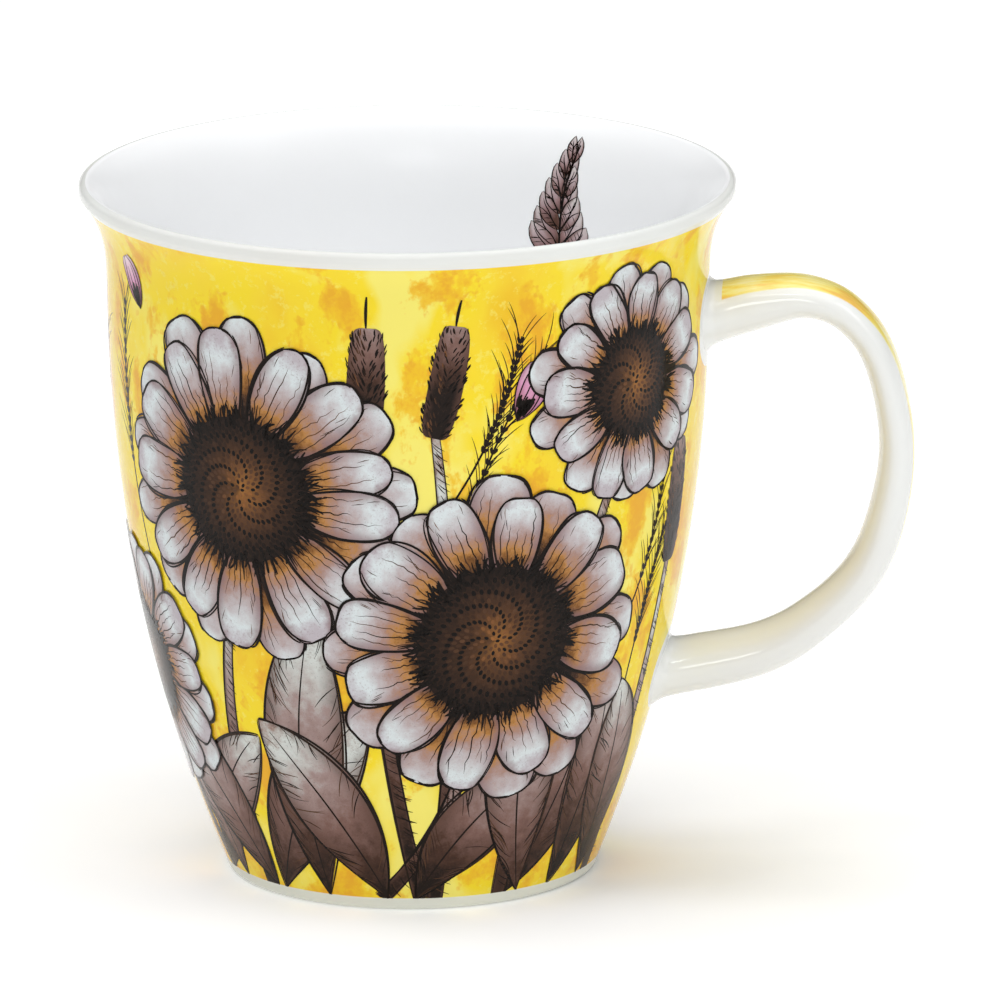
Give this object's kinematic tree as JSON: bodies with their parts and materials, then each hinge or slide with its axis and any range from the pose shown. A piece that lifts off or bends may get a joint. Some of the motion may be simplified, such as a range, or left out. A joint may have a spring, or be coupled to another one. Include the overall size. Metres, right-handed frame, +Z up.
{
  "type": "mug",
  "caption": "Tall flared bone china mug with a loop handle, low foot ring and an all-over printed flower pattern under a glossy glaze.",
  "frame": {"origin": "under the middle of the whole mug, handle included, on the plane it stands on", "axes": "+Z up along the body's axis, +X towards the handle, +Y across it"},
  "size_m": [0.1298, 0.102, 0.11],
  "materials": {
    "printed_china": "glossy clear glaze over a printed wash of yellow and ochre, white inside and at rim and foot",
    "white_china": "glossy clear glaze on white china, with a printed strip along the outer face"
  },
  "bodies": {
    "root": {"body": "printed_china", "handle": "white_china"}
  },
  "joints": []
}
